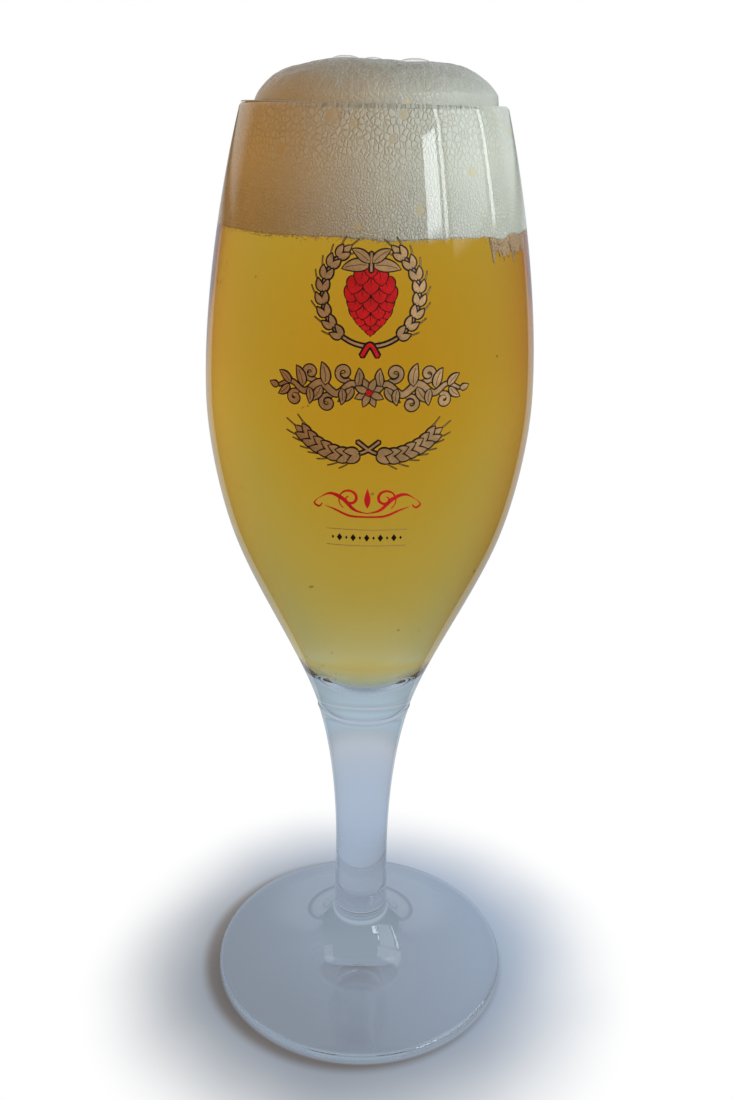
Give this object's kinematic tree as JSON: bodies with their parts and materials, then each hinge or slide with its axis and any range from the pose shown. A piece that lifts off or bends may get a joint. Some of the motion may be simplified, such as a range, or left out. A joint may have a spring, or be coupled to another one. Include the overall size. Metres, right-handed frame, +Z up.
{
  "type": "footed tulip glass of pilsner beer with a foam head",
  "caption": "Clear stemmed tulip glass on a round foot, filled with golden pilsner beer under a thick white head of foam that domes above the rim.",
  "frame": {"origin": "centre of the underside of the foot, on the surface that the glass stands on", "axes": "+Z up along the axis of the glass; the printed side faces -Y"},
  "size_m": [0.0772, 0.0772, 0.2289],
  "materials": {
    "glass": "clear, fire polished, faintly blue-grey soda-lime glass",
    "beer": "clear golden yellow liquid",
    "foam": "fine-bubbled, off-white, moist",
    "enamel_gold": "brown-gold fired enamel print",
    "enamel_red": "red fired enamel print",
    "enamel_dark": "dark brown fired enamel print"
  },
  "bodies": {
    "root": {"glass": "glass", "beer": "beer", "foam": "foam"}
  },
  "joints": []
}
